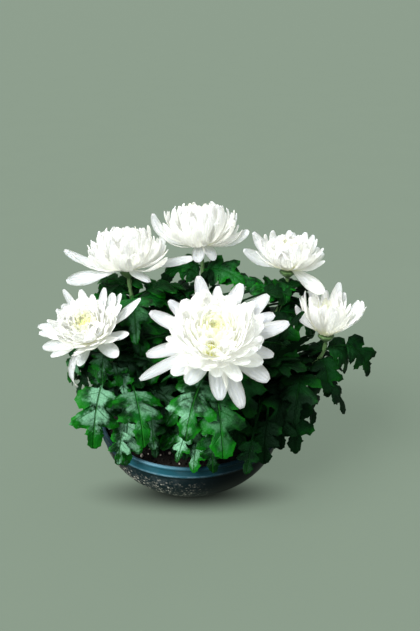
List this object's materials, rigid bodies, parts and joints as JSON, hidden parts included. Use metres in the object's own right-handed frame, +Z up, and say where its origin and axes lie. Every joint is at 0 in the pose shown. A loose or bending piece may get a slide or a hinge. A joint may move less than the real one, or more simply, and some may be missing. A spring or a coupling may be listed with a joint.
{
  "type": "potted chrysanthemum",
  "caption": "Potted chrysanthemum: large double white blooms on leafy stems, planted in a low round bowl of soil.",
  "frame": {"origin": "centre of the bowl's foot, on the surface it stands on", "axes": "+Z up along the bowl's axis, -Y towards the viewer, +X to the viewer's right"},
  "size_m": [0.3156, 0.2253, 0.2647],
  "materials": {
    "bowl": "dark blue plastic, a little worn and dusted with soil",
    "soil": "moist, crumbly potting soil",
    "leaf": "dark green leaf with a soft sheen",
    "petal": "white petal, soft and slightly translucent",
    "heart": "pale yellow-green florets"
  },
  "bodies": {
    "root": {"bowl": "bowl", "soil": "soil", "leafy_stem_1": "leaf", "leafy_stem_2": "leaf", "leafy_stem_3": "leaf", "leafy_stem_4": "leaf", "leafy_stem_5": "leaf", "leafy_stem_6": "leaf", "bloom_1": "petal", "bloom_2": "petal", "bloom_3": "petal", "bloom_4": "petal", "bloom_5": "petal", "bloom_6": "petal", "bloom_1_heart": "heart", "bloom_2_heart": "heart", "bloom_3_heart": "heart", "bloom_4_heart": "heart", "bloom_5_heart": "heart", "bloom_6_heart": "heart"}
  },
  "joints": []
}
